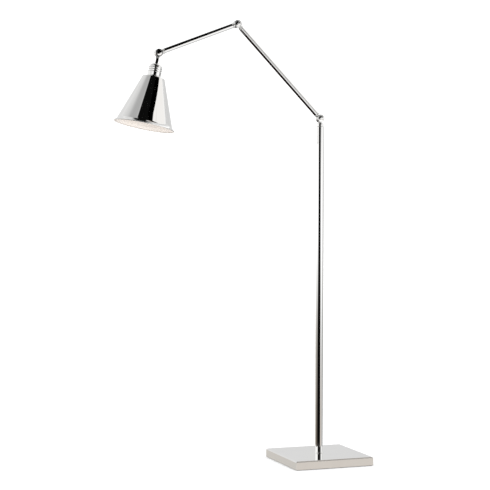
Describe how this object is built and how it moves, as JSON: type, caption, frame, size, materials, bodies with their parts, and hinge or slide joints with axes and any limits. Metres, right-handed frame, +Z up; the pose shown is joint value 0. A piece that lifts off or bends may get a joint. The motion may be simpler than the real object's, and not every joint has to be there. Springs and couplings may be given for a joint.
{
  "type": "adjustable arm floor lamp",
  "caption": "Floor lamp with a weighted square base, a swivelling pole top, two friction-jointed arms and a tilting conical shade.",
  "frame": {"origin": "centre of the base pad's underside, on the floor, on the pole's axis", "axes": "+Z up along the pole; the arms reach out along -X at rest and every knuckle pivots about an axis parallel to Y; -Y is the front edge of the base"},
  "size_m": [0.7793, 0.2555, 1.3497],
  "materials": {
    "polished_nickel": "mirror-polished nickel plate",
    "nickel_and_white_enamel": "mirror-polished nickel plate outside, white enamel inside",
    "cast_iron": "bare casting, painted black",
    "felt": "dense dark felt",
    "black_plastic": "moulded bush",
    "brass": "turned brass",
    "zinc_plated_steel": "zinc-plated hardware",
    "lead_insulation": "soft insulation",
    "friction_fibre": "pressed fibre",
    "porcelain": "glazed porcelain",
    "white_plastic": "moulded, satin",
    "frosted_glass": "etched inside",
    "bulb_cap_metal": "rolled screw cap"
  },
  "bodies": {
    "stand": {"base_cover": "polished_nickel", "base_weight": "cast_iron", "base_pad": "felt", "cord_grommet": "black_plastic", "foot_ring": "polished_nickel", "pole_tube": "polished_nickel", "pole_foot_plug": "brass", "base_nipple": "brass", "base_lock_washer": "zinc_plated_steel", "base_lock_nut": "zinc_plated_steel", "pole_top_bush": "brass", "swivel_stop_pin": "zinc_plated_steel", "pole_lead": "lead_insulation"},
    "swivel": {"swivel_post": "polished_nickel", "swivel_thrust_washer": "friction_fibre", "swivel_spring_washer": "zinc_plated_steel", "swivel_nut": "zinc_plated_steel", "lower_knuckle_friction_washer": "friction_fibre", "lower_knuckle_screw": "zinc_plated_steel", "lower_knuckle_spring_washer": "zinc_plated_steel", "lower_knuckle_nut": "zinc_plated_steel", "lower_knuckle_rear_cap": "polished_nickel"},
    "lower_arm": {"lower_knuckle_half": "polished_nickel", "lower_knuckle_front_cap": "polished_nickel", "lower_arm_beads": "polished_nickel", "lower_arm_tube": "polished_nickel", "lower_arm_lead": "lead_insulation", "elbow_rear_half": "polished_nickel", "elbow_friction_washer": "friction_fibre", "elbow_screw": "zinc_plated_steel", "elbow_spring_washer": "zinc_plated_steel", "elbow_nut": "zinc_plated_steel", "elbow_rear_cap": "polished_nickel"},
    "upper_arm": {"elbow_front_half": "polished_nickel", "elbow_front_cap": "polished_nickel", "upper_arm_beads": "polished_nickel", "upper_arm_tube": "polished_nickel", "upper_arm_lead": "lead_insulation", "head_front_half": "polished_nickel", "head_friction_washer": "friction_fibre", "head_screw": "zinc_plated_steel", "head_spring_washer": "zinc_plated_steel", "head_nut": "zinc_plated_steel", "head_front_cap": "polished_nickel"},
    "head": {"head_stem": "polished_nickel", "head_rear_cap": "polished_nickel", "socket_cap": "polished_nickel", "stem_lock_nut": "zinc_plated_steel", "socket_cup": "polished_nickel", "socket_bead": "polished_nickel", "lampholder_body": "porcelain", "lampholder_shell": "brass", "lampholder_contact": "brass", "shade": "nickel_and_white_enamel", "shade_clamp_ring": "white_plastic", "bulb_glass": "frosted_glass", "bulb_cap": "bulb_cap_metal", "bulb_contact": "brass"}
  },
  "joints": [
    {"name": "pole_swivel", "type": "hinge", "parent": "stand", "child": "swivel", "pos_m": [0, 0, 1.061], "axis": [0, 0, 1], "range_deg": [-160, 160]},
    {"name": "lower_knuckle", "type": "hinge", "parent": "swivel", "child": "lower_arm", "pos_m": [0, 0, 1.061], "axis": [0, 1, 0], "range_deg": [-45, 44.5]},
    {"name": "elbow", "type": "hinge", "parent": "lower_arm", "child": "upper_arm", "pos_m": [-0.27195, 0, 1.33774], "axis": [0, 1, 0], "range_deg": [-40, 66.5]},
    {"name": "head_tilt", "type": "hinge", "parent": "upper_arm", "child": "head", "pos_m": [-0.51851, 0, 1.24062], "axis": [0, 1, 0], "range_deg": [-35, 75]}
  ]
}
